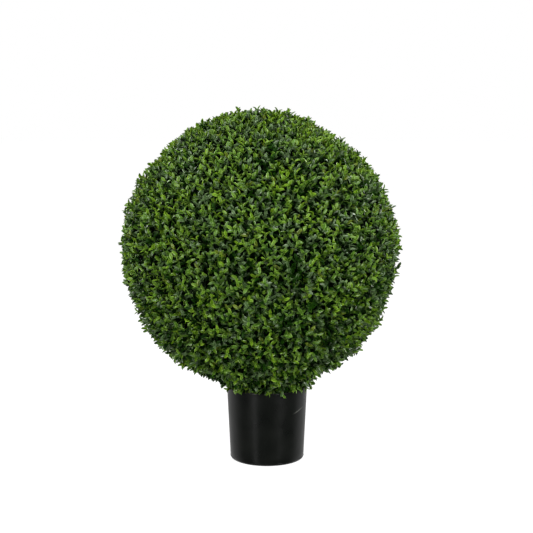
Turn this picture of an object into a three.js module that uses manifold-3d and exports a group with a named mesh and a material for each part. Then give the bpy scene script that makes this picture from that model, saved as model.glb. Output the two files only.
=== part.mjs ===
// Artificial box topiary ball in a round black pot: one clipped sphere of box sprigs on a short pole that is
// set in the cement of its pot. The ball sits a little to one side, so the pole leans.
// Millimetres, +Z up. The origin is the centre of the pot's flat underside, and -Y is the front.
import * as THREE from "three";
import { mergeVertices } from "three/addons/utils/BufferGeometryUtils.js";
import Module from "manifold-3d";

const wasm = await Module();
wasm.setup();

// Driving dimensions
const OVERALL_HEIGHT = 765;
const BALL_DIAMETER = 612; // over the furthest leaf tips
const BALL_OFFSET = 15; // of the ball's centre from the pot's axis, towards -X
const FOLIAGE_DEPTH = 30; // from the core's surface to the furthest leaf tips
const CORE_ROUGHNESS = 9; // how far the core's clumps rise and fall
const CORE_DETAIL = 6; // how finely the core's faces are divided
const POT_HEIGHT = 162;
const POT_RIM_DIAMETER = 177;
const POT_FOOT_DIAMETER = 161.8;
const POT_WALL = 2.6;
const POT_FLOOR = 4;
const POT_CHAMFER = 3.5; // round the underside's edge
const POT_FACETS = 48;
const LIP_STEPS = 4; // of the rounded lip's half circle
const CEMENT_BELOW_RIM = 24;
const POLE_DIAMETER = 22;
const POLE_FACETS = 16;
const POLE_IN_CEMENT = 80;
const CLEARANCE = 0.3; // between pieces that touch

// The sprigs: sizes and the rule by which they branch
const SEED = 8;
const TWIG_TIPS = 120; // each with a crown of leaves
const TIP_JITTER = 0.05; // of a tip's place, as a share of the ball's radius
const SIDE_TWIGS = 2; // that fork from each main twig
const FURTHEST_SIDE_TIP = THREE.MathUtils.degToRad(28); // from the main tip, as the ball's centre sees it
const TWIG_ROOT = 14; // how far a sprig's foot is sunk in the core
const TWIG_RADIUS = 4; // at the foot
const TWIG_TIP_RADIUS = 2;
const TWIG_BEND = 8; // how far below its tip a twig turns outwards
const FORK_AT = 0.6; // share of the main twig's length where its side twigs start
const SIDE_TWIG_SHARE = 0.6; // of the main twig's radius
const CROWN_DEPTH = 26; // from a twig's tip, where its leaves start, to the furthest leaf tips
const LEAVES_PER_TWIG = 6; // three opposite pairs
const PAIR_ANGLES = [52, 68, 60].map(THREE.MathUtils.degToRad); // between each pair's leaves and their twig
const LEAF_LENGTH = 60;
const LEAF_LENGTH_SHARES = [0.85, 1.1]; // of it, the least and the most
const LEAF_SHORTEST = 16; // where the pot or the pole is near
const TRIM_STEP = 0.85;
const LEAF_WIDTH_SHARE = 0.52; // of its length
const LEAF_WIDEST_AT = 0.56; // share of its length
const LEAF_THICKNESS = 3; // at the root, from where it thins to nothing at the tip
const LEAF_FOLD = 3; // how far the edges stand above the midrib
const TRIM_ROUGHNESS = 9; // spread of the leaf tips below the clipped surface
const UNTRIMMED_LENGTH = 14; // extra reach close above the pot, where no shears pass
const UNTRIMMED_FROM = [30, 15].map(THREE.MathUtils.degToRad); // straight down: where it starts, and is full
const LIMB_GAP = 2.5; // kept between foliage and the pot or the pole

const BALL_RADIUS = BALL_DIAMETER / 2;
const CORE_RADIUS = BALL_RADIUS - FOLIAGE_DEPTH;
const BALL_CENTRE = new THREE.Vector3(-BALL_OFFSET, 0, OVERALL_HEIGHT - BALL_RADIUS);
const RIM_RADIUS = POT_RIM_DIAMETER / 2;
const FOOT_RADIUS = POT_FOOT_DIAMETER / 2;
const CEMENT_TOP = POT_HEIGHT - CEMENT_BELOW_RIM;
const POLE_RADIUS = POLE_DIAMETER / 2;
const POLE_FOOT = new THREE.Vector3(0, 0, CEMENT_TOP - POLE_IN_CEMENT);

const plastic = new THREE.MeshStandardMaterial({ color: 0x151617, roughness: 0.45, metalness: 0 });
const cement = new THREE.MeshStandardMaterial({ color: 0x8b8880, roughness: 0.95, metalness: 0 });
const paintedPole = new THREE.MeshStandardMaterial({ color: 0x3a2f22, roughness: 0.7, metalness: 0 });
const leafGreen = new THREE.MeshStandardMaterial({ color: 0x3c6b22, roughness: 0.55, metalness: 0 });

// A seeded random number from 0 to 1 at each call.
function randomFrom(seed) {
  let state = seed;
  return () => {
    state = (state + 0x6d2b79f5) | 0;
    let mixed = Math.imul(state ^ (state >>> 15), 1 | state);
    mixed = (mixed + Math.imul(mixed ^ (mixed >>> 7), 61 | mixed)) ^ mixed;
    return ((mixed ^ (mixed >>> 14)) >>> 0) / 4294967296;
  };
}
const random = randomFrom(SEED);
const between = (low, high) => low + (high - low) * random();

// A geometry with nothing but its corners, each of them once.
function bareGeometry(geometry) {
  const bare = new THREE.BufferGeometry();
  bare.setAttribute("position", geometry.getAttribute("position"));
  return mergeVertices(bare.setIndex(geometry.getIndex()), 1e-3);
}

// Closed solids, which can be joined and cut, from geometries and back.
function solidOf(geometry) {
  const merged = bareGeometry(geometry);
  return new wasm.Manifold(
    new wasm.Mesh({
      numProp: 3,
      vertProperties: merged.attributes.position.array,
      triVerts: new Uint32Array(merged.index.array),
    }),
  );
}

function geometryOf(solid) {
  const mesh = solid.getMesh();
  const geometry = new THREE.BufferGeometry();
  geometry.setAttribute("position", new THREE.BufferAttribute(new Float32Array(mesh.vertProperties), 3));
  geometry.setIndex(new THREE.BufferAttribute(new Uint32Array(mesh.triVerts), 1));
  geometry.computeVertexNormals();
  return geometry;
}

// A solid turned from a profile of [radius, height] pairs, about the Z axis.
function turned(profile, facets) {
  const points = profile.map(([radius, height]) => new THREE.Vector2(radius, height));
  return new THREE.LatheGeometry(points, facets).rotateX(Math.PI / 2);
}

// Moves a geometry that runs up +Z from the origin so that it starts at a point and runs along a direction.
function laid(geometry, from, direction) {
  const turn = new THREE.Quaternion().setFromUnitVectors(new THREE.Vector3(0, 0, 1), direction);
  return geometry.applyQuaternion(turn).translate(from.x, from.y, from.z);
}

const potRadiusAt = (height) => FOOT_RADIUS + ((RIM_RADIUS - FOOT_RADIUS) * height) / POT_HEIGHT;

function makePot() {
  const lip = POT_WALL / 2;
  const rim = [];
  for (let step = 0; step <= LIP_STEPS; step += 1) {
    const angle = (Math.PI * step) / LIP_STEPS;
    rim.push([RIM_RADIUS - lip + lip * Math.cos(angle), POT_HEIGHT - lip + lip * Math.sin(angle)]);
  }
  return turned(
    [
      [0, 0],
      [FOOT_RADIUS - POT_CHAMFER, 0],
      [FOOT_RADIUS, POT_CHAMFER],
      ...rim,
      [potRadiusAt(POT_FLOOR) - POT_WALL, POT_FLOOR],
      [0, POT_FLOOR],
    ],
    POT_FACETS,
  );
}

const poleDirection = BALL_CENTRE.clone().sub(POLE_FOOT).normalize();

// The pole, or with a margin the room that it needs in the pieces round it.
function makePole(margin = 0) {
  const length = BALL_CENTRE.distanceTo(POLE_FOOT) + 2 * margin;
  const pole = new THREE.CylinderGeometry(POLE_RADIUS + margin, POLE_RADIUS + margin, length, POLE_FACETS);
  pole.rotateX(Math.PI / 2).translate(0, 0, length / 2 - margin);
  return laid(pole, POLE_FOOT, poleDirection);
}

function makeCement() {
  const insideAt = (height) => potRadiusAt(height) - POT_WALL - CLEARANCE * 2;
  const plug = turned(
    [
      [0, POT_FLOOR + CLEARANCE],
      [insideAt(POT_FLOOR), POT_FLOOR + CLEARANCE],
      [insideAt(CEMENT_TOP), CEMENT_TOP],
      [0, CEMENT_TOP],
    ],
    POT_FACETS,
  );
  return geometryOf(solidOf(plug).subtract(solidOf(makePole(CLEARANCE))));
}

// Whether a point of the foliage keeps its distance from the pot's wall, the cement and the pole.
function isClear(point) {
  const fromWall = Math.abs(Math.hypot(point.x, point.y) - potRadiusAt(point.z) + POT_WALL / 2);
  if (point.z < POT_HEIGHT + LIMB_GAP && fromWall < POT_WALL / 2 + LIMB_GAP) return false;
  if (point.z < CEMENT_TOP + LIMB_GAP) return false;
  const fromFoot = point.clone().sub(POLE_FOOT);
  const fromPole = fromFoot.addScaledVector(poleDirection, -fromFoot.dot(poleDirection)).length();
  const isBelowCore = point.z < BALL_CENTRE.z && point.distanceTo(BALL_CENTRE) > CORE_RADIUS;
  return !isBelowCore || fromPole > POLE_RADIUS + LIMB_GAP;
}

// The same for a loop of straight edges, tested at steps shorter than the wall with its gaps is thick.
function isLoopClear(corners) {
  return corners.every((from, i) => {
    const to = corners[(i + 1) % corners.length];
    const steps = Math.ceil(from.distanceTo(to) / (POT_WALL + LIMB_GAP));
    return [...Array(steps + 1).keys()].every((step) => isClear(from.clone().lerp(to, step / steps)));
  });
}

// The furthest that foliage reaches from the ball's centre in a direction.
function reachTowards(outward) {
  const untrimmed = THREE.MathUtils.smoothstep(-outward.z, ...UNTRIMMED_FROM.map(Math.cos));
  return BALL_RADIUS + UNTRIMMED_LENGTH * untrimmed;
}

// The length along a direction from a point to a sphere of this radius about the ball's centre.
function lengthToSphere(from, direction, radius) {
  const offset = from.clone().sub(BALL_CENTRE);
  const half = offset.dot(direction);
  return Math.sqrt(Math.max(0, half * half - offset.lengthSq() + radius * radius)) - half;
}

// The direction at an angle from one unit vector towards another that is square to it.
function leaning(along, sideways, angle) {
  return along.clone().multiplyScalar(Math.cos(angle)).addScaledVector(sideways, Math.sin(angle));
}

// The corners of one leaf of a crown: the tip, and the two raised edges where the leaf is widest. The leaf
// leans out from the crown's axis by an angle. It is trimmed at the clipped surface, and again as far as it
// takes to clear the pot and the pole.
function leafCorners(crown, leaf) {
  const sideways = crown.turned(leaf);
  const angle = PAIR_ANGLES[leaf % PAIR_ANGLES.length];
  const direction = leaning(crown.up, sideways, angle);
  const upper = leaning(crown.up, sideways, angle - Math.PI / 2);
  const across = new THREE.Vector3().crossVectors(crown.up, sideways);
  const cornersFor = (length) => {
    const tip = crown.centre.clone().addScaledVector(direction, length);
    const middle = crown.centre.clone().lerp(tip, LEAF_WIDEST_AT).addScaledVector(upper, LEAF_FOLD);
    const halfWidth = (length * LEAF_WIDTH_SHARE) / 2;
    return [tip, ...[-1, 1].map((side) => middle.clone().addScaledVector(across, side * halfWidth))];
  };
  const reach = crown.reach - TRIM_ROUGHNESS * random() ** 2;
  const untrimmed = LEAF_LENGTH * between(...LEAF_LENGTH_SHARES);
  let length = Math.min(untrimmed, lengthToSphere(crown.centre, direction, reach));
  let corners = cornersFor(length);
  while (length > LEAF_SHORTEST && !isLoopClear([crown.centre, ...corners])) {
    length *= TRIM_STEP;
    corners = cornersFor(length);
  }
  return corners;
}

// The three corners of a twig, square to its direction, where the crown's own corners give the way they face.
function twigCorners(crown, centre, direction, radius) {
  const turn = new THREE.Quaternion().setFromUnitVectors(crown.up, direction);
  return [0, 2, 4].map((gap) => {
    const outwards = crown.corner(gap).sub(crown.centre).setLength(radius);
    return outwards.applyQuaternion(turn).add(centre);
  });
}

// One closed solid: a three-sided twig from a foot to the crown's centre, and the crown of leaves at its tip.
// Each leaf has four faces above, which fold up along its midrib, and three below. The corners between the
// leaves are the twig's six-sided tip. It is left out where it would come too near the pot or the pole.
function twigWithLeaves(foot, crown, radius) {
  const bend = crown.centre.clone().addScaledVector(crown.up, -TWIG_BEND);
  const along = bend.clone().sub(foot).normalize();
  const halfway = along.clone().add(crown.up).normalize();
  const footCorners = twigCorners(crown, foot, along, radius);
  const bendCorners = twigCorners(crown, bend, halfway, TWIG_TIP_RADIUS);
  const ring = [...Array(LEAVES_PER_TWIG).keys()].map(crown.corner);
  const triangles = [[footCorners[0], footCorners[2], footCorners[1]]];
  for (let side = 0; side < 3; side += 1) {
    const next = (side + 1) % 3;
    const [left, middle, right] = [ring[2 * side], ring[2 * side + 1], ring[2 * next]];
    triangles.push([footCorners[side], footCorners[next], bendCorners[next]]);
    triangles.push([footCorners[side], bendCorners[next], bendCorners[side]]);
    triangles.push([bendCorners[side], bendCorners[next], middle]);
    triangles.push([bendCorners[side], middle, left], [bendCorners[next], right, middle]);
  }
  const top = crown.centre.clone().addScaledVector(crown.up, LEAF_THICKNESS);
  for (let leaf = 0; leaf < LEAVES_PER_TWIG; leaf += 1) {
    const [tip, before, after] = leafCorners(crown, leaf);
    const [gapBefore, gapAfter] = [ring.at(leaf - 1), ring[leaf]];
    triangles.push([top, gapBefore, before], [top, before, tip], [top, tip, after], [top, after, gapAfter]);
    triangles.push([gapBefore, gapAfter, tip], [gapBefore, tip, before], [gapAfter, after, tip]);
  }
  if (!triangles.every(isLoopClear)) return null;
  return solidOf(new THREE.BufferGeometry().setFromPoints(triangles.flat()));
}

// The crown at a twig's tip, which faces outwards from the ball, with the corners between its leaves.
function crownTowards(up) {
  const reach = reachTowards(up);
  const centre = BALL_CENTRE.clone().addScaledVector(up, reach - CROWN_DEPTH);
  const sideways = squareTo(up, between(0, 2 * Math.PI));
  const turned = (share) => sideways.clone().applyAxisAngle(up, (2 * Math.PI * share) / LEAVES_PER_TWIG);
  const corner = (gap) => centre.clone().addScaledVector(turned(gap + 0.5), TWIG_TIP_RADIUS);
  return { up, reach, centre, turned, corner };
}

// One sprig: a main twig out of the core, and the side twigs that fork from it.
function makeSprig([mainTip, ...sideTips]) {
  const foot = BALL_CENTRE.clone().addScaledVector(mainTip, CORE_RADIUS - TWIG_ROOT);
  const crown = crownTowards(mainTip);
  const main = twigWithLeaves(foot, crown, TWIG_RADIUS);
  if (!main) return [];
  const fork = foot.clone().lerp(crown.centre, FORK_AT);
  const sides = sideTips.map((tip) => twigWithLeaves(fork, crownTowards(tip), TWIG_RADIUS * SIDE_TWIG_SHARE));
  return [main, ...sides].filter(Boolean);
}

// A unit vector square to a direction, turned round it by an angle.
function squareTo(direction, angle) {
  const helper = Math.abs(direction.z) < 0.9 ? new THREE.Vector3(0, 0, 1) : new THREE.Vector3(1, 0, 0);
  return helper.cross(direction).normalize().applyAxisAngle(direction, angle);
}

// Directions of the twigs' tips, spread evenly over a sphere, each moved a little.
function tipDirections() {
  const goldenAngle = Math.PI * (3 - Math.sqrt(5));
  const directions = [];
  for (let i = 0; i < TWIG_TIPS; i += 1) {
    const height = 1 - (2 * (i + 0.5)) / TWIG_TIPS;
    const direction = new THREE.Vector3(Math.sqrt(1 - height * height), 0, height);
    direction.applyAxisAngle(new THREE.Vector3(0, 0, 1), i * goldenAngle);
    const shift = new THREE.Vector3(between(-1, 1), between(-1, 1), between(-1, 1));
    directions.push(direction.addScaledVector(shift, TIP_JITTER).normalize());
  }
  return directions;
}

// The tips shared out among sprigs: each main tip takes the nearest free ones for its side twigs.
function sprigTips() {
  const free = tipDirections();
  const sprigs = [];
  while (free.length) {
    const main = free.pop();
    free.sort((a, b) => a.angleTo(main) - b.angleTo(main));
    const near = free.filter((tip) => tip.angleTo(main) < FURTHEST_SIDE_TIP).length;
    sprigs.push([main, ...free.splice(0, Math.min(SIDE_TWIGS, near))]);
  }
  return sprigs;
}

// The dense inside of the clipped ball, whose surface rises and falls in clumps.
function makeCore() {
  const core = bareGeometry(new THREE.IcosahedronGeometry(CORE_RADIUS, CORE_DETAIL));
  const corners = core.getAttribute("position");
  for (let i = 0; i < corners.count; i += 1) {
    const corner = new THREE.Vector3().fromBufferAttribute(corners, i);
    corner.setLength(CORE_RADIUS + CORE_ROUGHNESS * between(-1, 1)).add(BALL_CENTRE);
    corners.setXYZ(i, corner.x, corner.y, corner.z);
  }
  return core;
}

// The clipped ball: a core with sprigs sunk in it all round, and a socket for the pole.
function makeFoliage() {
  const sprigs = sprigTips().flatMap(makeSprig);
  const whole = wasm.Manifold.union([solidOf(makeCore()), ...sprigs]).subtract(solidOf(makePole(CLEARANCE)));
  const largestFirst = whole.decompose().sort((a, b) => b.volume() - a.volume());
  return geometryOf(largestFirst[0]);
}

const plant = new THREE.Group();
for (const [name, geometry, material] of [
  ["pot", makePot(), plastic],
  ["cement_fill", makeCement(), cement],
  ["stem_pole", makePole(), paintedPole],
  ["foliage_ball", makeFoliage(), leafGreen],
]) {
  const mesh = new THREE.Mesh(geometry, material);
  mesh.name = name;
  plant.add(mesh);
}

export default plant;
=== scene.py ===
import math

import bmesh
import bpy
import numpy as np
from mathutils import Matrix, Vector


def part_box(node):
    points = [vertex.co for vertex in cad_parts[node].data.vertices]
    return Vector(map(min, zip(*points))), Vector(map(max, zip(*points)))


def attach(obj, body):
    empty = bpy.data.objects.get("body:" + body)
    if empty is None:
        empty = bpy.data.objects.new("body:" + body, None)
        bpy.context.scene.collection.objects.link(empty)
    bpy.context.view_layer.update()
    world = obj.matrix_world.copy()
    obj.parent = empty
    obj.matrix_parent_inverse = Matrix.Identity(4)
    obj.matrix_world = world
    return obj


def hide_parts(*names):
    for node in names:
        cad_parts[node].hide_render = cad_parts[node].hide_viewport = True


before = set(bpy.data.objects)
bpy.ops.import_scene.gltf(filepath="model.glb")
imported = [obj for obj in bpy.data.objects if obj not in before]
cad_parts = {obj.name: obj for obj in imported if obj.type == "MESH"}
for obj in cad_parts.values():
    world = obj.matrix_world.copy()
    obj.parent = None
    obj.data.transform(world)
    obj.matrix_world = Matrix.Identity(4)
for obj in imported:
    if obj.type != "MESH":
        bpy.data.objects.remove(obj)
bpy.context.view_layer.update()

# The pot.
# One injection moulding of black polypropylene: a thin wall drawn wider towards its rolled rim, on a
# chamfered foot. It stands loose on the floor, and everything else stands in it.

mm = 0.001
POT_WALL = 2.6 * mm
POT_FLOOR = 4 * mm
FOOT_CHAMFER = 3.5 * mm
FOOT_BEAD = 0.6 * mm  # radius of the raised line above the chamfer
FOOT_SHARE = 0.914  # of the rim's width

pot_low, pot_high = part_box("pot")
rim_radius = (pot_high.x - pot_low.x) / 2
foot_radius = rim_radius * FOOT_SHARE
rim_height = pot_high.z


def pot_radius_at(height):
    """The outside of the wall, which widens evenly from the foot to the rim."""
    return foot_radius + (rim_radius - foot_radius) * height / rim_height


def arc(centre, radius, start, end, steps):
    """Points of [radius, height] on a circle about a centre, from one angle in degrees to another."""
    angles = np.radians(np.linspace(start, end, steps))
    return np.column_stack([centre[0] + radius * np.cos(angles), centre[1] + radius * np.sin(angles)])


def grid_faces(rows, columns, is_round):
    """Four-cornered faces between the points of a grid. If it is round, its last column meets the first."""
    across = np.arange(columns if is_round else columns - 1)
    row, column = np.meshgrid(np.arange(rows - 1), across, indexing="ij")
    here = row * columns + column
    beside = row * columns + (column + 1) % columns
    return np.stack([here, beside, beside + columns, here + columns], axis=-1).reshape(-1, 4)


def turned(profile, facets=144):
    """Each [radius, height] of the profile carried once round the Z axis, as a ring of points."""
    angles = np.linspace(0, 2 * math.pi, facets, endpoint=False)
    radius, height = np.asarray(profile).T[..., None]
    rings = np.stack([radius * np.cos(angles), radius * np.sin(angles), height + 0 * angles], axis=-1)
    return rings.reshape(-1, 3), grid_faces(len(profile), facets, is_round=True)


def new_piece(name, points, faces, material, slot, sharp_angle=None):
    """A mesh from arrays of points and faces, which rides on the plant's one body. With a sharp angle, its
    doubled points are merged, its normals face outwards, and the edges sharper than that stay crisp."""
    mesh = bpy.data.meshes.new(name)
    mesh.vertices.add(len(points))
    mesh.vertices.foreach_set("co", points.astype(np.float32).ravel())
    mesh.loops.add(faces.size)
    mesh.loops.foreach_set("vertex_index", faces.astype(np.int32).ravel())
    mesh.polygons.add(len(faces))
    mesh.polygons.foreach_set("loop_start", np.arange(0, faces.size, faces.shape[1], dtype=np.int32))
    mesh.update(calc_edges=True)
    if sharp_angle is not None:
        welded = bmesh.new()
        welded.from_mesh(mesh)
        bmesh.ops.remove_doubles(welded, verts=welded.verts, dist=0.001 * mm)
        bmesh.ops.recalc_face_normals(welded, faces=welded.faces)
        welded.to_mesh(mesh)
        welded.free()
    mesh.shade_smooth()
    if sharp_angle is not None:
        mesh.set_sharp_from_angle(angle=math.radians(sharp_angle))
    mesh.materials.append(material)
    piece = bpy.data.objects.new(name, mesh)
    bpy.context.scene.collection.objects.link(piece)
    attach(piece, "root")
    return piece


def linear(colour):
    """An sRGB hex colour as the four linear values that a shader takes."""
    parts = [int(colour[i : i + 2], 16) / 255 for i in (1, 3, 5)]
    return [c / 12.92 if c <= 0.04045 else ((c + 0.055) / 1.055) ** 2.4 for c in parts] + [1]


def new_material(name, **sockets):
    """A material with one Principled shader, whose sockets are set by their names. It returns both."""
    material = bpy.data.materials.new(name)
    material.use_nodes = True
    shader = material.node_tree.nodes["Principled BSDF"]
    for socket, value in sockets.items():
        shader.inputs[socket.replace("_", " ")].default_value = value
    return material, shader


def add_node(material, kind, inputs, **settings):
    """Adds a node with its settings. Each of its inputs takes a value, or another node's output."""
    node = material.node_tree.nodes.new(kind)
    for setting, value in settings.items():
        setattr(node, setting, value)
    for socket, value in inputs.items():
        if isinstance(value, bpy.types.NodeSocket):
            material.node_tree.links.new(value, node.inputs[socket])
        else:
            node.inputs[socket].default_value = value
    return node


def link(material, output, socket):
    """Joins a node's output to a shader's socket."""
    material.node_tree.links.new(output, socket)


# Moulded polypropylene, carbon black. It has the satin of a fine-etched mould, with faint clouds where the
# melt cooled unevenly and rubbed patches that shine a little more.
polypropylene, pot_shader = new_material("moulded_black_polypropylene", IOR=1.49, Specular_IOR_Level=0.2)
place = add_node(polypropylene, "ShaderNodeTexCoord", {}).outputs["Object"]
CLOUD_SIZE = 45 * mm
CLOUD_ROUGHNESS = [0.26, 0.36]
RIPPLE_SIZE = 18 * mm
RIPPLE_DEPTH = 0.5 * mm
ETCH_SIZE = 1.6 * mm  # a real etch is about 0.2 mm, too fine to show
ETCH_DEPTH = 0.15 * mm
clouds = add_node(
    polypropylene, "ShaderNodeTexNoise", {"Vector": place, "Scale": 1 / CLOUD_SIZE, "Detail": 3.0}
).outputs["Fac"]
tone = add_node(
    polypropylene,
    "ShaderNodeMix",
    {"Factor": clouds, "A": linear("#0b0d0c"), "B": linear("#121411")},
    data_type="RGBA",
).outputs["Result"]

# One scuff, where something hard slid up the wall at the front right: a pale burr, and below it a near-black
# line painted as the shadow in the groove under the burr. It is drawn in its own frame, X along it and Z
# across it, whose middle lies on the wall.
SCUFF_BEARING = 53  # degrees to the right of straight ahead
SCUFF_HEIGHT = 117 * mm
SCUFF_TILT = 16  # degrees from level
SCUFF_LENGTH = 44 * mm
SCUFF_WIDTH = 4 * mm
SCUFF_SHADOW_AND_WEAR = [("#020202", -0.9), ("#5c5e58", 0)]  # of the painted shadow in the groove and of the pale burr, and how many widths above the middle
bearing = math.radians(SCUFF_BEARING)
out_at_scuff = pot_radius_at(SCUFF_HEIGHT)
on_scuff = add_node(
    polypropylene,
    "ShaderNodeMapping",
    {
        "Vector": place,
        "Location": (out_at_scuff * math.sin(bearing), -out_at_scuff * math.cos(bearing), SCUFF_HEIGHT),
        "Rotation": (0, -math.radians(SCUFF_TILT), bearing),
    },
    vector_type="TEXTURE",
)
along_scuff = add_node(polypropylene, "ShaderNodeSeparateXYZ", {"Vector": on_scuff.outputs["Vector"]}).outputs
# Each pass mixes in one tone: first the painted shadow in the groove, then the pale burr.
for colour, side in SCUFF_SHADOW_AND_WEAR:
    ends = add_node(
        polypropylene, "ShaderNodeMath", {0: along_scuff["X"], 1: 2 / SCUFF_LENGTH}, operation="MULTIPLY"
    )
    offset = add_node(
        polypropylene, "ShaderNodeMath", {0: along_scuff["Z"], 1: side * SCUFF_WIDTH}, operation="SUBTRACT"
    )
    sides = add_node(
        polypropylene, "ShaderNodeMath", {0: offset.outputs[0], 1: 2 / SCUFF_WIDTH}, operation="MULTIPLY"
    )
    depth = add_node(
        polypropylene, "ShaderNodeMath", {0: along_scuff["Y"], 1: 1 / SCUFF_LENGTH}, operation="MULTIPLY"
    )
    spot = add_node(
        polypropylene,
        "ShaderNodeCombineXYZ",
        {"X": ends.outputs[0], "Y": depth.outputs[0], "Z": sides.outputs[0]},
    )
    away = add_node(polypropylene, "ShaderNodeVectorMath", {0: spot.outputs[0]}, operation="LENGTH")
    strength = add_node(
        polypropylene,
        "ShaderNodeMapRange",
        {"Value": away.outputs["Value"], "From Min": 0.2, "From Max": 1.0, "To Min": 0.9, "To Max": 0.0},
    )
    tone = add_node(
        polypropylene,
        "ShaderNodeMix",
        {"Factor": strength.outputs["Result"], "A": tone, "B": linear(colour)},
        data_type="RGBA",
    ).outputs["Result"]
link(polypropylene, tone, pot_shader.inputs["Base Color"])
gloss = add_node(
    polypropylene,
    "ShaderNodeMapRange",
    {
        "Value": clouds,
        "From Min": 0.3,
        "From Max": 0.7,
        "To Min": CLOUD_ROUGHNESS[0],
        "To Max": CLOUD_ROUGHNESS[1],
    },
)
link(polypropylene, gloss.outputs["Result"], pot_shader.inputs["Roughness"])
etch = add_node(
    polypropylene, "ShaderNodeTexNoise", {"Vector": place, "Scale": 1 / ETCH_SIZE, "Detail": 2.0}
).outputs["Fac"]
ripples = add_node(
    polypropylene, "ShaderNodeTexNoise", {"Vector": place, "Scale": 1 / RIPPLE_SIZE, "Detail": 1.0}
).outputs["Fac"]
rippled = add_node(
    polypropylene, "ShaderNodeBump", {"Height": ripples, "Strength": 0.5, "Distance": RIPPLE_DEPTH}
).outputs["Normal"]
etched = add_node(
    polypropylene,
    "ShaderNodeBump",
    {"Height": etch, "Normal": rippled, "Strength": 0.12, "Distance": ETCH_DEPTH},
)
link(polypropylene, etched.outputs["Normal"], pot_shader.inputs["Normal"])

lip = POT_WALL / 2
pot_profile = np.vstack(
    [
        [[0, 0], [foot_radius - 1.6 * FOOT_CHAMFER, 0], [foot_radius - 1.2 * FOOT_CHAMFER, 0]],
        arc((foot_radius - FOOT_CHAMFER, FOOT_CHAMFER), FOOT_CHAMFER, -80, -20, 6),
        arc((foot_radius, FOOT_CHAMFER + FOOT_BEAD), FOOT_BEAD, -60, 90, 7),
        [[pot_radius_at(h), h] for h in np.linspace(FOOT_CHAMFER + 3 * FOOT_BEAD, rim_height - 2 * lip, 14)],
        arc((rim_radius - lip, rim_height - lip), lip, 0, 180, 9),
        [[pot_radius_at(h) - POT_WALL, h] for h in np.linspace(rim_height - 2 * lip, 1.5 * POT_FLOOR, 10)],
        [[pot_radius_at(POT_FLOOR) - 1.4 * POT_WALL, POT_FLOOR], [0, POT_FLOOR]],
    ]
)
pot = new_piece("moulded_pot", *turned(pot_profile), polypropylene, "pot_plastic", sharp_angle=50)
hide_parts("pot")

# The cement.
# A sand and cement mix, poured round the pole once that stood in the pot, and left as it settled. Its
# weight keeps the plant upright. It grips the pole, and creeps a little up the pot's wall.

FILL_GAP = 0.6 * mm
SETTLED_RELIEF = 1.6 * mm
SETTLED_SIZE = 30 * mm
CREEP = 3 * mm
DAMP_SIZE = 25 * mm
SAND_SIZE = 1.5 * mm  # real grains are about half that

cement_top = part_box("cement_fill")[1].z
rng = np.random.default_rng(8)


def waves(points, size, rng, count=12):
    """A smooth uneven height, mostly from -1 to 1: a sum of plane waves with seeded directions and phases,
    each as long as `size` or down to a third of it."""
    turns = rng.normal(size=(count, points.shape[-1]))
    lengths = np.linalg.norm(turns, axis=1, keepdims=True)
    turns *= (2 * math.pi / size) * rng.uniform(1, 3, (count, 1)) / lengths
    shifts = rng.uniform(0, 2 * math.pi, count)
    return np.sin(points @ turns.T + shifts).sum(axis=-1) / count**0.5 / 1.5


def fill_radius_at(height):
    """The side of the cement, which keeps the same small gap from the inside of the pot's wall."""
    return pot_radius_at(height) - POT_WALL - FILL_GAP


fill_profile = np.array(
    [[0, POT_FLOOR + FILL_GAP], [fill_radius_at(POT_FLOOR), POT_FLOOR + FILL_GAP]]
    + [[fill_radius_at(h), h] for h in np.linspace(2 * POT_FLOOR, cement_top, 8)]
    + [[fill_radius_at(cement_top) * share, cement_top] for share in np.linspace(0.98, 0, 24)]
)
fill_points, fill_faces = turned(fill_profile, facets=96)
fill_reach = np.hypot(*fill_points.T[:2]) / fill_radius_at(cement_top)
on_top = fill_points[:, 2] > cement_top - 0.1 * mm
settled = SETTLED_RELIEF * (waves(fill_points[:, :2], SETTLED_SIZE, rng) - 1)
settled = settled + CREEP * (fill_reach**12 - 1)
fill_points[:, 2] += np.where(on_top & (fill_reach < 0.999), settled, 0)

# Cast cement: dull, pale grey and sandy, with darker damp patches and pits where air escaped.
cast_cement, cement_shader = new_material("cast_cement", Roughness=0.95, IOR=1.5)
place = add_node(cast_cement, "ShaderNodeTexCoord", {}).outputs["Object"]
patches = add_node(
    cast_cement, "ShaderNodeTexNoise", {"Vector": place, "Scale": 1 / DAMP_SIZE, "Detail": 6.0}
)
tone = add_node(
    cast_cement,
    "ShaderNodeMix",
    {"Factor": patches.outputs["Fac"], "A": linear("#6b6860"), "B": linear("#a09c92")},
    data_type="RGBA",
)
link(cast_cement, tone.outputs["Result"], cement_shader.inputs["Base Color"])
sand = add_node(cast_cement, "ShaderNodeTexNoise", {"Vector": place, "Scale": 1 / SAND_SIZE, "Detail": 3.0})
sandy = add_node(
    cast_cement, "ShaderNodeBump", {"Height": sand.outputs["Fac"], "Strength": 0.5, "Distance": 0.5 * mm}
)
link(cast_cement, sandy.outputs["Normal"], cement_shader.inputs["Normal"])

cement = new_piece("settled_cement", fill_points, fill_faces, cast_cement, "cement", sharp_angle=50)
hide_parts("cement_fill")

# The stem.
# A turned softwood pole, stained dark brown. Its foot is cast in the cement and its top is screwed in the
# middle of the ball's frame, a little to one side, so it leans.

POLE_IN_CEMENT = 80 * mm
POLE_ROWS = 60
POINT = 1e-6  # radius of the closed ends
GRAIN_RELIEF = 0.25 * mm
GRAIN_SIZE = 14 * mm
KNOT_SPACING = 90 * mm
GRAIN_LINES = 3 * mm  # drawn coarser than real grain, about 1 mm

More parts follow.
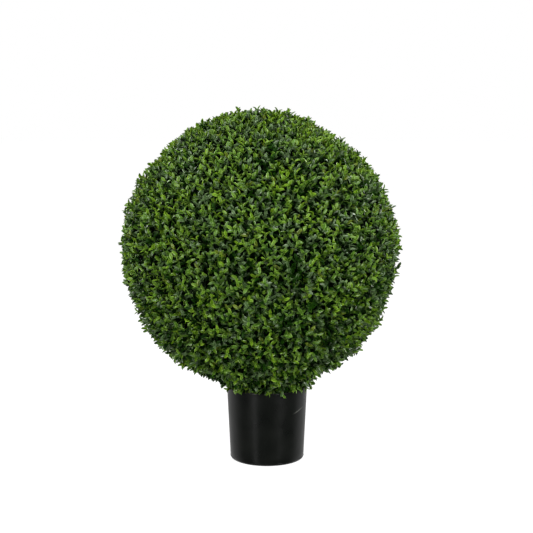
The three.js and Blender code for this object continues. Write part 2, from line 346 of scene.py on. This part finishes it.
ball_low, ball_high = (np.array(corner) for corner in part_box("foliage_ball"))
pole_low, pole_high = (np.array(corner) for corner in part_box("stem_pole"))
ball_radius = (ball_high - ball_low)[:2].mean() / 2
ball_centre = np.array([*(ball_low + ball_high)[:2] / 2, ball_high[2] - ball_radius])
pole_foot = np.array([0, 0, cement_top - POLE_IN_CEMENT])
pole_radius = (pole_high - pole_low)[1] / 2


def unit(vectors):
    """The same directions, each one unit long."""
    return vectors / np.linalg.norm(vectors, axis=-1, keepdims=True)


def square_to(directions):
    """Two unit vectors for each direction, square to it and to each other: the first from the direction and
    whichever of X and Z it is further from, the second from those two."""
    helper = np.where(np.abs(directions[..., 2:]) < 0.9, [0, 0, 1], [1, 0, 0])
    first = unit(np.cross(helper, directions))
    return first, np.cross(directions, first)


def tubes(paths, radii, sides):
    """A ring of corners round each point of many paths, square to the path there. Paths are an array of
    path, point and place, and radii one of path and point."""
    along = unit(np.gradient(paths, axis=1))
    first, second = square_to(along[:, :1] + 0 * along)
    first = unit(first - (first * along).sum(-1, keepdims=True) * along)
    second = np.cross(along, first)
    angles = 2 * math.pi * np.arange(sides) / sides
    ring = first[:, :, None] * np.cos(angles)[:, None] + second[:, :, None] * np.sin(angles)[:, None]
    points = paths[:, :, None] + radii[:, :, None, None] * ring
    faces = grid_faces(paths.shape[1], sides, is_round=True)
    starts = np.arange(len(paths)) * paths.shape[1] * sides
    return points.reshape(-1, 3), (faces[None] + starts[:, None, None]).reshape(-1, 4)


pole_top = ball_centre
pole_rows = np.linspace(0, 1, POLE_ROWS)
pole_path = pole_foot + (pole_top - pole_foot) * np.clip(np.r_[0, pole_rows, 1], 0.001, 0.999)[:, None]
pole_path[0], pole_path[-1] = pole_foot, pole_top
pole_radii = np.r_[POINT, np.full(POLE_ROWS, pole_radius), POINT]
pole_points, pole_faces = tubes(pole_path[None], pole_radii[None], sides=32)
pole_axis = unit(pole_top - pole_foot)
from_axis = pole_points - pole_foot - ((pole_points - pole_foot) @ pole_axis)[:, None] * pole_axis
grain = waves(from_axis, GRAIN_SIZE, rng) + 0.5 * waves(pole_points, KNOT_SPACING, rng)
pole_points += GRAIN_RELIEF * (grain[:, None] - 1) * from_axis / pole_radius

# Stained softwood: brown, with lengthwise grain lines a few millimetres apart and little gloss.
stained_wood, wood_shader = new_material("stained_softwood", Roughness=0.62, IOR=1.5)
place = add_node(stained_wood, "ShaderNodeTexCoord", {}).outputs["Object"]
stretched = add_node(stained_wood, "ShaderNodeMapping", {"Vector": place, "Scale": (1, 1, 0.06)})
lines = add_node(
    stained_wood,
    "ShaderNodeTexNoise",
    {"Vector": stretched.outputs["Vector"], "Scale": 1 / GRAIN_LINES, "Detail": 4.0},
)
tone = add_node(
    stained_wood,
    "ShaderNodeMix",
    {"Factor": lines.outputs["Fac"], "A": linear("#2a1c10"), "B": linear("#57402a")},
    data_type="RGBA",
)
link(stained_wood, tone.outputs["Result"], wood_shader.inputs["Base Color"])
grooved = add_node(
    stained_wood, "ShaderNodeBump", {"Height": lines.outputs["Fac"], "Strength": 0.4, "Distance": 0.3 * mm}
)
link(stained_wood, grooved.outputs["Normal"], wood_shader.inputs["Normal"])

stem = new_piece("stem", pole_points, pole_faces, stained_wood, "pole", sharp_angle=50)
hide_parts("stem_pole")

# The ball's frame.
# Two half shells of dark green polyethylene, moulded with a raised lattice whose crossings hold the foot of
# each sprig. They snap together round the middle, and a collar below grips the stem.

FRAME_DEPTH = 35 * mm  # below the leaf tips
LATTICE_RELIEF = 2.2 * mm
LATTICE_ROWS = 44
RIB_SHARPNESS = 8
FLANGE_WIDTH = 0.012  # radians to either side of the middle
FLANGE_SHARE = 1.5  # of the ribs' relief
WAX_SIZE = 6 * mm
COLLAR_DEPTH = 26 * mm
COLLAR_EDGE = [163, 167]  # degrees from straight up: where the collar starts to stand out, and is full

frame_radius = ball_radius - FRAME_DEPTH


def smoothstep(values, start, end):
    """0 up to the start, 1 from the end, and an S curve between them."""
    share = np.clip((values - start) / (end - start), 0, 1)
    return share * share * (3 - 2 * share)


def frame_radius_at(polar, around):
    """The shell's radius: it stands up along ribs that cross at even steps of both angles, round a
    thicker flange at the middle, where the halves meet, and further round the collar below."""
    level = np.cos(polar * LATTICE_ROWS) ** RIB_SHARPNESS
    upright = np.cos(around * LATTICE_ROWS) ** RIB_SHARPNESS * np.sin(polar) ** 2
    flange = np.exp(-(((polar - math.pi / 2) / FLANGE_WIDTH) ** 2))
    collar = COLLAR_DEPTH * smoothstep(polar, *np.radians(COLLAR_EDGE))
    relief = np.maximum(np.maximum(level, upright), FLANGE_SHARE * flange)
    return frame_radius + collar + LATTICE_RELIEF * relief


polar, around = np.meshgrid(
    np.linspace(0, math.pi, 133), np.linspace(0, 2 * math.pi, 264, endpoint=False), indexing="ij"
)
shell = frame_radius_at(polar, around)[..., None] * np.stack(
    [np.sin(polar) * np.cos(around), np.sin(polar) * np.sin(around), np.cos(polar)], axis=-1
)

# Polyethylene nearly black, darker than its dark green dye, as painted shade deep under the leaves, with a
# soft waxy gloss.
painted_shade_polyethylene, frame_shader = new_material(
    "dark_polyethylene_painted_shade", Base_Color=linear("#020d02"), Roughness=0.8, IOR=1.51, Specular_IOR_Level=0.05
)
place = add_node(painted_shade_polyethylene, "ShaderNodeTexCoord", {}).outputs["Object"]
waxy = add_node(painted_shade_polyethylene, "ShaderNodeTexNoise", {"Vector": place, "Scale": 1 / WAX_SIZE})
waxy_bump = add_node(
    painted_shade_polyethylene,
    "ShaderNodeBump",
    {"Height": waxy.outputs["Fac"], "Strength": 0.3, "Distance": 0.4 * mm},
)
link(painted_shade_polyethylene, waxy_bump.outputs["Normal"], frame_shader.inputs["Normal"])

new_piece(
    "lattice_ball_frame",
    shell.reshape(-1, 3) + ball_centre,
    grid_faces(*polar.shape, is_round=True),
    painted_shade_polyethylene,
    "foliage",
    sharp_angle=60,
)

# The twigs.
# Each sprig is one polyethylene moulding: a stub that plugs in the frame and forks twice, into side twigs
# and then fine ones. Every fork's tips are those nearest to it, so the clipped surface fills evenly.

SPRIGS = 640
SIDE_TWIGS = 3  # to a sprig
FINE_TWIGS = 3  # to a side twig
TIP_SCATTER = 0.25  # of the space between neighbours
FORK_SHARES = [0.0, 0.3, 0.62, 1.0]  # of the way from the frame to a twig's tip: foot, forks and tip
TWIG_RADII = [1.5 * mm, 1.1 * mm, 0.75 * mm, 0.4 * mm]
CROWN_DEPTH = 14 * mm  # from a twig's tip to the furthest leaf tips
CLIP_SPREAD = 11 * mm  # how much deeper the deepest twigs end
SHALLOW_POWER = 1.6  # over 1, more twigs end near the clipped surface than deep below it
CLIP_WAVE = 4.6 * mm  # how far the clipped surface swells and sinks
WAVE_LENGTH = 400 * mm
WAVE_SEED = 16136  # picked, out of many, as its swells lie about where the real ball's do
STRAY_SHARE = 0.12  # of the twigs, which stand out of the clipped surface
STRAY_LENGTH = 8.5 * mm
LOWEST_STRAY = -0.85  # height of a stray's direction, of its length: none in the fringe below
BEND_SHARE = 0.45  # how far along its first direction a twig's bend lies, of its length
WALL_GAP = 0.8 * mm  # that foliage keeps from the pot's wall
OTHER_GAP = 1 * mm  # and from its rim, the cement and the stem
MOTTLE_SIZE = 12 * mm
FRINGE_BELOW_RIM = 17 * mm  # how far down the foliage hangs round the pot, where no shears pass
FRINGE_FROM = [120 * mm, 78 * mm]  # from the pot's axis: where that starts, and is full


def even_directions(count, rng):
    """Directions spread evenly over a sphere: heights fall by even steps while the golden angle turns each
    from the last. Each is then moved at random by a share of the space between neighbours."""
    number = np.arange(count)
    height = 1 - (2 * number + 1) / count
    turn = number * math.pi * (3 - math.sqrt(5))
    across = np.sqrt(1 - height**2)
    directions = np.column_stack([across * np.cos(turn), across * np.sin(turn), height])
    spacing = math.sqrt(4 * math.pi / count)
    return unit(directions + rng.uniform(-1, 1, (count, 3)) * TIP_SCATTER * spacing)


def reach_towards(directions):
    """The furthest that foliage reaches from the ball's centre: the clipped surface, which swells and sinks
    a little, and near the pot's axis as far as it takes to hang over the rim."""
    swell = CLIP_WAVE * waves(ball_radius * directions, WAVE_LENGTH, np.random.default_rng(WAVE_SEED))
    from_axis = np.hypot(*np.moveaxis(ball_centre + ball_radius * directions, -1, 0)[:2])
    hanging = smoothstep(-from_axis, *np.negative(FRINGE_FROM)) * (directions[..., 2] < 0)
    down = np.maximum(-directions[..., 2], 0.5)
    to_fringe = (ball_centre[2] - rim_height + FRINGE_BELOW_RIM) / down
    return ball_radius + swell * (1 - hanging) + (to_fringe - ball_radius) * hanging


counts = [SPRIGS, SPRIGS * SIDE_TWIGS, SPRIGS * SIDE_TWIGS * FINE_TWIGS]
levels = [even_directions(count, rng) for count in counts]
nearest = [np.argmax(finer @ coarser.T, axis=1) for coarser, finer in zip(levels, levels[1:])]


def height_at(share, directions, depth):
    """The distance from the ball's centre at a share of the way from the frame to a twig's tip."""
    tip = reach_towards(directions) - CROWN_DEPTH - depth
    return frame_radius + share * (tip - frame_radius)


depths = CLIP_SPREAD * rng.random(counts[-1]) ** SHALLOW_POWER
stray = STRAY_LENGTH * rng.random(counts[-1]) * (rng.random(counts[-1]) < STRAY_SHARE)
stray = np.where(levels[-1][:, 2] > LOWEST_STRAY, stray, 0)
depths = np.where(stray > 0, -stray, depths)
forks = [
    ball_centre + directions * height_at(share, directions, depth)[:, None]
    for directions, share, depth in zip(levels, FORK_SHARES[1:], [0, 0, depths])
]
feet = ball_centre + levels[0] * frame_radius


def curved(starts, ends, leave, steps=4):
    """Points on a curve from each start to its end, which leaves the start along a direction and then
    bends to the end: a quadratic Bezier whose middle lies a share of its length along that direction."""
    share = np.linspace(0, 1, steps)[:, None]
    length = np.linalg.norm(ends - starts, axis=-1, keepdims=True)
    middle = starts + BEND_SHARE * length * leave
    starts, middle, ends = starts[:, None], middle[:, None], ends[:, None]
    return (1 - share) ** 2 * starts + 2 * share * (1 - share) * middle + share**2 * ends


starts = [feet, forks[0][nearest[0]], forks[1][nearest[1]]]
leaving = [levels[0], levels[0][nearest[0]], levels[1][nearest[1]]]
paths = [curved(*ends) for ends in zip(starts, forks, leaving)]
radii = [np.linspace(*ends, 4) for ends in zip(TWIG_RADII, TWIG_RADII[1:])]
tips = paths[-1]

# Moulded polyethylene, dyed a dark green and darkened further as painted shade between the leaves, with a
# slight gloss.
twig_plastic, twig_shader = new_material(
    "moulded_green_polyethylene", Roughness=0.6, IOR=1.51, Specular_IOR_Level=0.1
)
place = add_node(twig_plastic, "ShaderNodeTexCoord", {}).outputs["Object"]
mottle = add_node(twig_plastic, "ShaderNodeTexNoise", {"Vector": place, "Scale": 1 / MOTTLE_SIZE})
tone = add_node(
    twig_plastic,
    "ShaderNodeMix",
    {"Factor": mottle.outputs["Fac"], "A": linear("#0c1a06"), "B": linear("#1f3410")},
    data_type="RGBA",
)
link(twig_plastic, tone.outputs["Result"], twig_shader.inputs["Base Color"])


def is_clear(points):
    """Whether each point keeps off the pot's wall, the cement and the stem below the ball's frame."""
    height = points[..., 2]
    off_wall = np.abs(np.hypot(points[..., 0], points[..., 1]) - pot_radius_at(height) + POT_WALL / 2)
    from_foot = points - pole_foot
    off_stem = np.linalg.norm(from_foot - (from_foot @ pole_axis)[..., None] * pole_axis, axis=-1)
    outside = np.linalg.norm(points - ball_centre, axis=-1) > frame_radius
    below = outside & (height < ball_centre[2])
    return (
        ((height > rim_height + OTHER_GAP) | (off_wall > POT_WALL / 2 + WALL_GAP))
        & (height > cement_top + OTHER_GAP)
        & ((off_stem > pole_radius + OTHER_GAP) | ~below)
    )


grown = [is_clear(path).all(axis=1) for path in paths]
for finer, parent in ((1, nearest[0]), (2, nearest[1])):
    grown[finer] &= grown[finer - 1][parent]
grown_paths = np.concatenate([path[keep] for path, keep in zip(paths, grown)])
grown_radii = np.concatenate([np.tile(radius, (keep.sum(), 1)) for radius, keep in zip(radii, grown)])
new_piece("forking_twigs", *tubes(grown_paths, grown_radii, sides=3), twig_plastic, "foliage")

# The leaves.
# Thin polyethylene leaves in opposite pairs, moulded with their twigs and folded a little along the midrib.
# The sprigs come in several dyes, which are mixed over the ball, and the lower pairs of leaves on each twig
# are darkened as painted shade. Shears trim what stands out of it.

PAIR_DEPTHS = np.array([0, 5, 11]) * mm  # of each pair below its twig's tip
PAIR_ANGLES = np.radians([28, 42, 56])  # between each pair's leaves and their twig
LEAF_LENGTH = 16.2 * mm
LEAF_LENGTH_SHARES = [0.82, 1.05]  # of it, the least and the most
LEAF_WIDTH_SHARE = 0.4
LEAF_FOLD = 0.8  # rise of the edges, of half the width
LEAF_CURL = 0.2  # droop of the tip, of the length
LEAF_ROWS = np.array([0, 0.28, 0.57, 0.83, 1])  # places along a leaf that have corners
SHORTEST_LEAF = 6 * mm
TURN_SCATTER = 0.14  # radians, of leaves round their twig and away from it
ROLL_SCATTER = 0.3  # radians, of leaves round their midrib
OUTLINE_POWERS = [0.8, 0.6]  # of the way from a leaf's root, and of the way to its tip
TWIG_TILT = 0.22  # how far twigs turn from straight outwards
TWIG_RISE = 1.3  # how far they turn up, as on a live plant


def half_width_at(share):
    """A box leaf's outline: a power of the way from the root times one of the way to the tip, so it is
    widest a little beyond the middle and ends in a blunt point. It is 1 where it is widest."""
    rise, fall = OUTLINE_POWERS
    widest = rise / (rise + fall)
    return share**rise * (1 - share) ** fall / (widest**rise * (1 - widest) ** fall)


fine = np.nonzero(grown[-1])[0]
tip_paths = tips[fine]
twig_up = unit(tip_paths[:, -1] - tip_paths[:, -2]) + levels[-1][fine] + TWIG_RISE * np.array([0, 0, 1])
twig_up = unit(twig_up + TWIG_TILT * rng.normal(size=(len(fine), 3)))
pairs = len(PAIR_DEPTHS)
first, second = square_to(twig_up)
phase = rng.uniform(0, 2 * math.pi, len(fine))
turns = phase[:, None, None] + np.arange(pairs)[:, None] * math.pi / 3 + np.array([0, math.pi])
turns = turns + rng.normal(0, TURN_SCATTER, turns.shape)
sideways = (
    first[:, None, None] * np.cos(turns)[..., None] + second[:, None, None] * np.sin(turns)[..., None]
)
lean = PAIR_ANGLES[:, None] + rng.normal(0, TURN_SCATTER, turns.shape)
up = twig_up[:, None, None]
along = up * np.cos(lean)[..., None] + sideways * np.sin(lean)[..., None]
upper = up * np.sin(lean)[..., None] - sideways * np.cos(lean)[..., None]
on_twig = tip_paths[:, -1, None, None] - up * PAIR_DEPTHS[:, None, None]
root = (on_twig + 0 * along).reshape(-1, 3)
along, upper = along.reshape(-1, 3), upper.reshape(-1, 3)
across = np.cross(along, upper)
roll = rng.normal(0, ROLL_SCATTER, len(root))[:, None]
across, upper = across * np.cos(roll) + upper * np.sin(roll), upper * np.cos(roll) - across * np.sin(roll)

reach = reach_towards(unit(root - ball_centre)) + np.repeat(stray[fine], 2 * pairs)
offset = root - ball_centre
half = (offset * along).sum(-1)
to_surface = np.sqrt(np.maximum(half**2 - (offset**2).sum(-1) + reach**2, 0)) - half
length = np.minimum(LEAF_LENGTH * rng.uniform(*LEAF_LENGTH_SHARES, len(root)), to_surface)


def leaf_corners(root, along, across, upper, length):
    """The corners of many leaves, row by row: left edge, midrib and right edge. The edges stand out to both
    sides by half the width there and rise by the fold, and the whole leaf droops by the square of the way."""
    share = LEAF_ROWS[:, None]
    side = np.array([-1, 0, 1])
    out = half_width_at(share) * side * LEAF_WIDTH_SHARE / 2
    rise = LEAF_FOLD * np.abs(out) - LEAF_CURL * share**2
    size = length[:, None, None, None]
    return root[:, None, None] + size * (
        share[..., None] * along[:, None, None]
        + out[..., None] * across[:, None, None]
        + rise[..., None] * upper[:, None, None]
    )


corners = leaf_corners(root, along, across, upper, length)
kept = is_clear(corners).all(axis=(1, 2)) & (length > SHORTEST_LEAF)

# The root row and the tip row of a leaf are each one corner, so its grid has triangles at both ends.
rows = len(LEAF_ROWS)
squares = grid_faces(rows, 3, is_round=False)
halves = np.concatenate([squares[:, [0, 1, 2]], squares[:, [0, 2, 3]]])
merged = np.clip(np.arange(3 * rows) - 2, 0, 3 * rows - 5)
leaf_faces = np.array([face for face in merged[halves] if len(set(face)) == 3])
used = np.r_[1, 3 : 3 * rows - 3, 3 * rows - 2]
leaf_points = corners.reshape(-1, 3 * rows, 3)[:, used]
leaf_uv = np.stack(np.meshgrid([0, 0.5, 1], LEAF_ROWS), axis=-1).reshape(-1, 2)[used]

# Tones of the leaves: the colour of the blade, that of the paler midrib and rim, and the roughness and
# specular level of both. The midrib is paler where the moulding is thinner, and the rim's paleness is a
# painted highlight where the folded edges catch the light. The first five are dyes. The two darkest are
# painted shade, mostly for leaves deep in the ball, and are dull.
LEAF_TONES = {
    "fresh_green": ("#4a7202", "#8cac38", 0.34, 0.3),
    "mid_green": ("#426904", "#84a242", 0.34, 0.34),
    "olive_green": ("#476003", "#879540", 0.34, 0.38),
    "grass_green": ("#385f06", "#779a44", 0.34, 0.38),
    "grey_green": ("#324d20", "#6f875a", 0.32, 0.44),
    # These last two colours are painted shade for the leaves deep in the ball, not dyes of their own.
    "deep_green_painted_shade": ("#0f2c00", "#234a08", 0.5, 0.1),
    "inner_painted_shade": ("#071b01", "#102d07", 0.6, 0.05),
}
TONE_SHARES = [0.21, 0.32, 0.03, 0.25, 0.17, 0.12]  # those past the whole take the last tone, the darkest painted shade
PAINTED_SHADE_SHARES = [0, 0.6, 1.2]  # of the way to the darkest painted shade, for each pair of leaves down the twig
PAINTED_SHADE_SCATTER = [0.7, 1.3]
SPRIG_MOOD = 0.6  # how much of a twig's dye its sprig decides, next to 1 for the twig itself


def leaf_material(name, blade, pale_and_highlight, roughness, specular):
    """Moulded polyethylene leaf: the midrib is paler, and the rim is lighter as a painted highlight, both by
    the leaf's own map, and the blade shines softly. The map runs from side to side and from root to tip."""
    material, shader = new_material(
        f"moulded_leaf_{name}", Roughness=roughness, IOR=1.5, Specular_IOR_Level=specular
    )
    uv = add_node(material, "ShaderNodeUVMap", {}, uv_map="OFBake").outputs["UV"]
    place = add_node(material, "ShaderNodeSeparateXYZ", {"Vector": uv}).outputs
    from_midrib = add_node(material, "ShaderNodeMath", {0: place["X"], 1: 0.5}, operation="SUBTRACT")
    from_midrib = add_node(material, "ShaderNodeMath", {0: from_midrib.outputs[0]}, operation="ABSOLUTE")
    midrib = add_node(
        material,
        "ShaderNodeMapRange",
        {"Value": from_midrib.outputs[0], "From Min": 0.03, "From Max": 0.09, "To Min": 0.6, "To Max": 0.0},
    )
    # The rim's paleness is a painted highlight, where the folded edges catch the light.
    rim_highlight = add_node(
        material,
        "ShaderNodeMapRange",
        {"Value": from_midrib.outputs[0], "From Min": 0.24, "From Max": 0.44, "To Min": 0.0, "To Max": 1.0},
    )
    midrib_and_highlight = add_node(
        material, "ShaderNodeMath", {0: midrib.outputs[0], 1: rim_highlight.outputs[0]}, operation="MAXIMUM"
    )
    tone = add_node(
        material,
        "ShaderNodeMix",
        {"Factor": midrib_and_highlight.outputs[0], "A": linear(blade), "B": linear(pale_and_highlight)},
        data_type="RGBA",
    )
    link(material, tone.outputs["Result"], shader.inputs["Base Color"])
    return material


sprig_of_twig = nearest[0][nearest[1]][fine]
mood = SPRIG_MOOD * rng.normal(size=SPRIGS)[sprig_of_twig] + rng.normal(size=len(fine))
order = mood.argsort().argsort() / len(mood)
# Leaves lower down each twig are pushed towards the darkest tones, as painted shade.
painted_shade = np.repeat(PAINTED_SHADE_SHARES, 2) * rng.uniform(*PAINTED_SHADE_SCATTER, (len(order), 2 * pairs))
rank = order[:, None] + (1 - order[:, None]) * painted_shade
tone_of_leaf = np.searchsorted(np.cumsum(TONE_SHARES), rank.ravel())

for number, (name, leaf_tone) in enumerate(LEAF_TONES.items()):
    mine = kept & (tone_of_leaf == number)
    points = leaf_points[mine].reshape(-1, 3)
    starts = np.arange(mine.sum()) * len(used)
    faces = (leaf_faces[None] + starts[:, None, None]).reshape(-1, 3)
    leaves = new_piece(f"leaves_{name}", points, faces, leaf_material(name, *leaf_tone), "foliage")
    uv_map = leaves.data.uv_layers.new(name="OFBake")
    every_uv = np.tile(leaf_uv[leaf_faces.ravel()], (mine.sum(), 1))
    uv_map.data.foreach_set("uv", every_uv.astype(np.float32).ravel())
    if number == 0:
        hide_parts("foliage_ball")

# The studio.
# A white floor and backdrop that glow, as translucent acrylic lit from behind does, so hardly any shadow
# shows. Two tall softboxes stand before the plant, one on each side of the camera, one hangs above, and two
# square ones stand beside the plant and a little behind it.

CAMERA_DISTANCE = 2.5
CAMERA_HEIGHT = 0.756
CAMERA_ASIDE = -0.0012  # of the pot's axis
CAMERA_PITCH = 7.54  # degrees below level
FOCAL_LENGTH = 78.1  # on a sensor 36 mm wide
FLOOR_GLOW = 0.88
FLOOR_REACH = 30
BACK_LIGHT, DARK_ROOM = 0.65, 0.03  # strengths of the backdrop, and of the black curtains before it
BANK_LIGHTS = {-37: 2.2, 41: 0.3}  # degrees to the right of the camera, and strength
BANK_WIDTH = 12  # degrees
CURTAINS_END = [84, 106]  # degrees from the camera: where the backdrop starts to show, and is all there is

floor_mesh = bpy.data.meshes.new("floor")
floor_corners = [(x * FLOOR_REACH, y * FLOOR_REACH, 0) for x, y in ((-1, -1), (1, -1), (1, 1), (-1, 1))]
floor_mesh.from_pydata(floor_corners, [], [(0, 1, 2, 3)])
floor = bpy.data.objects.new("floor", floor_mesh)
bpy.context.scene.collection.objects.link(floor)
lit_acrylic = new_material(
    "lit_acrylic",
    Base_Color=linear("#808080"),
    Roughness=0.8,
    Emission_Strength=FLOOR_GLOW,
    Emission_Color=(1, 1, 1, 1),
)[0]
floor_mesh.materials.append(lit_acrylic)
floor.visible_diffuse = floor.visible_glossy = floor.visible_shadow = False

# The camera sees a white backdrop all round. What lights the plant is that backdrop behind it, with black
# curtains before it and two narrow banks of light between them, which draw a pale streak each on the pot.
world = bpy.data.worlds.new("white_studio")
world.use_nodes = True
backdrop = world.node_tree.nodes["Background"]
backdrop.inputs["Color"].default_value = (1, 1, 1, 1)
towards = add_node(world, "ShaderNodeTexCoord", {}).outputs["Generated"]
towards = add_node(world, "ShaderNodeSeparateXYZ", {"Vector": towards}).outputs
ahead = add_node(world, "ShaderNodeMath", {0: towards["Y"], 1: -1.0}, operation="MULTIPLY")
bearing = add_node(world, "ShaderNodeMath", {0: towards["X"], 1: ahead.outputs[0]}, operation="ARCTAN2")
share = add_node(
    world, "ShaderNodeMapRange", {"Value": bearing.outputs[0], "From Min": -math.pi, "From Max": math.pi}
)
room = add_node(world, "ShaderNodeValToRGB", {"Fac": share.outputs["Result"]})
stops = [(-CURTAINS_END[1], BACK_LIGHT), (-CURTAINS_END[0], DARK_ROOM)]
for bank, strength in BANK_LIGHTS.items():
    stops += [(bank - BANK_WIDTH / 2, DARK_ROOM), (bank, strength), (bank + BANK_WIDTH / 2, DARK_ROOM)]
stops += [(CURTAINS_END[0], DARK_ROOM), (CURTAINS_END[1], BACK_LIGHT)]
elements = room.color_ramp.elements
elements.remove(elements[1])
elements[0].position = 0
elements[0].color = (BACK_LIGHT, BACK_LIGHT, BACK_LIGHT, 1)
for degrees, strength in stops:
    elements.new(degrees / 360 + 0.5).color = (strength, strength, strength, 1)
seen = add_node(world, "ShaderNodeLightPath", {}).outputs["Is Camera Ray"]
strength = add_node(world, "ShaderNodeMath", {0: room.outputs["Color"], 1: seen}, operation="MAXIMUM")
link(world, strength.outputs[0], backdrop.inputs["Strength"])
bpy.context.scene.world = world


def add_light(name, kind, place, watts, **settings):
    """A soft light, which faces the middle of the ball."""
    lamp = bpy.data.lights.new(name, kind)
    lamp.energy = watts
    for setting, value in settings.items():
        setattr(lamp, setting, value)
    light = bpy.data.objects.new(name, lamp)
    light.location = place
    facing = unit(ball_centre - place)
    light.rotation_euler = (math.acos(-facing[2]), 0, math.atan2(-facing[0], facing[1]))
    bpy.context.scene.collection.objects.link(light)


add_light("overhead_softbox", "AREA", (-0.2, -1.5, 2.5), 34, shape="RECTANGLE", size=1.2, size_y=0.9)
add_light("left_softbox", "AREA", (-1.5, -1.9, 0.65), 37, shape="RECTANGLE", size=0.35, size_y=1.6)
add_light("right_softbox", "AREA", (1.5, -1.9, 0.65), 48, shape="RECTANGLE", size=0.5, size_y=1.6)
add_light("left_side_softbox", "AREA", (-2.1, 0.8, 0.9), 34, shape="RECTANGLE", size=0.8, size_y=0.8)
add_light("right_side_softbox", "AREA", (2.1, 0.8, 0.9), 36, shape="RECTANGLE", size=0.8, size_y=0.8)

lens = bpy.data.cameras.new("camera")
lens.lens = FOCAL_LENGTH
camera = bpy.data.objects.new("camera", lens)
camera.location = (CAMERA_ASIDE, -CAMERA_DISTANCE, CAMERA_HEIGHT)
camera.rotation_euler = (math.radians(90 - CAMERA_PITCH), 0, 0)
bpy.context.scene.collection.objects.link(camera)
bpy.context.scene.camera = camera
bpy.context.scene.view_settings.view_transform = "Standard"
